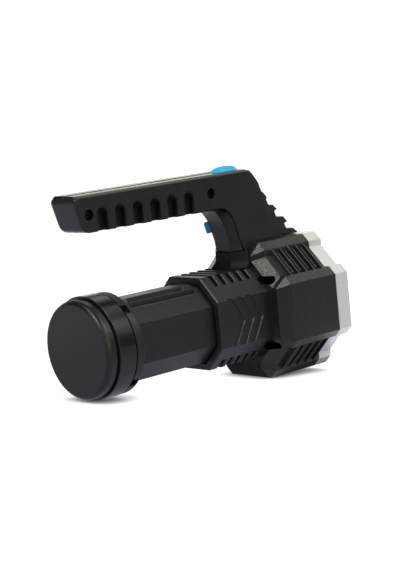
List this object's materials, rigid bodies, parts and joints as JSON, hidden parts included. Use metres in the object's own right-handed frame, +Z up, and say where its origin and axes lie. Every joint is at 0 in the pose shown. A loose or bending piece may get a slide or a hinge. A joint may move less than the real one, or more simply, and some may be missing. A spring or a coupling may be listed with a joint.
{
  "type": "flashlight",
  "caption": "Hand searchlight: round screw-on tail cap, octagonal battery tube, ribbed collar, lobed head with a silver bezel, and a cantilevered top grip with blue push buttons.",
  "frame": {"origin": "centre of the bounding box in plan, on the surface the lamp rests on", "axes": "+X towards the beam (the lamp lies nose-up by 5.4 degrees on its tail band and the rear edge of the head's bottom lobe), +Z up, -Y the side seen in the picture"},
  "size_m": [0.184, 0.08, 0.1251],
  "materials": {
    "battery_tube": "black moulded, fine grain",
    "cell_cradle": "black moulded",
    "cell_left": "shrink-wrap sleeve",
    "cell_right": "shrink-wrap sleeve",
    "driver_board": "green solder mask",
    "emitter_bottom": "yellow phosphor",
    "emitter_centre": "yellow phosphor",
    "emitter_left": "yellow phosphor",
    "emitter_right": "yellow phosphor",
    "emitter_top": "yellow phosphor",
    "front_bezel": "silver-grey paint, satin",
    "front_contact_board": "green solder mask",
    "handle_left": "black moulded, satin",
    "handle_liner": "black moulded, satin",
    "handle_right": "black moulded, satin",
    "handle_screw_front": "cross-recess screw",
    "handle_screw_rear": "cross-recess screw",
    "head_housing": "black moulded, fine spark-eroded grain",
    "head_screw_1": "cross-recess screw",
    "head_screw_2": "cross-recess screw",
    "head_screw_3": "cross-recess screw",
    "head_screw_4": "cross-recess screw",
    "heat_sink": "turned",
    "led_board": "white solder mask",
    "lens": "clear, polished",
    "lens_gasket": "matt",
    "main_button": "blue, satin gloss",
    "main_switch": "plain",
    "reflector": "vacuum-metallised mirror",
    "ribbed_collar": "black moulded, fine grain",
    "side_button": "blue, satin gloss",
    "strut_plinth": "black moulded, satin",
    "strut_spine": "black moulded, satin",
    "tail_cap": "black moulded, satin",
    "tail_contact_plate": "plain",
    "tail_contact_spring": "spring wire",
    "tail_seal_ring": "matt"
  },
  "bodies": {
    "lamp": {"battery_tube": "battery_tube", "cell_cradle": "cell_cradle", "cell_left": "cell_left", "cell_right": "cell_right", "driver_board": "driver_board", "emitter_bottom": "emitter_bottom", "emitter_centre": "emitter_centre", "emitter_left": "emitter_left", "emitter_right": "emitter_right", "emitter_top": "emitter_top", "front_bezel": "front_bezel", "front_contact_board": "front_contact_board", "handle_left": "handle_left", "handle_liner": "handle_liner", "handle_right": "handle_right", "handle_screw_front": "handle_screw_front", "handle_screw_rear": "handle_screw_rear", "head_housing": "head_housing", "head_screw_1": "head_screw_1", "head_screw_2": "head_screw_2", "head_screw_3": "head_screw_3", "head_screw_4": "head_screw_4", "heat_sink": "heat_sink", "led_board": "led_board", "lens": "lens", "lens_gasket": "lens_gasket", "main_switch": "main_switch", "reflector": "reflector", "ribbed_collar": "ribbed_collar", "strut_plinth": "strut_plinth", "strut_spine": "strut_spine", "tail_seal_ring": "tail_seal_ring"},
    "cap": {"tail_cap": "tail_cap", "tail_contact_plate": "tail_contact_plate", "tail_contact_spring": "tail_contact_spring"},
    "top_button": {"main_button": "main_button"},
    "trigger": {"side_button": "side_button"}
  },
  "joints": [
    {"name": "tail_cap_turn", "type": "hinge", "parent": "lamp", "child": "cap", "pos_m": [-0.08628, 0, 0.02781], "axis": [0.9955, 0, 0.0944], "continuous": true},
    {"name": "main_button_press", "type": "slide", "parent": "lamp", "child": "top_button", "axis": [0.0944, 0, -0.9955], "range_m": [0, 0.0012], "stiffness_N_per_m": 1500, "springref_m": -0.001},
    {"name": "side_button_press", "type": "slide", "parent": "lamp", "child": "trigger", "axis": [0.6118, -0.7492, 0.254], "range_m": [0, 0.0008], "stiffness_N_per_m": 1500, "springref_m": -0.001}
  ]
}
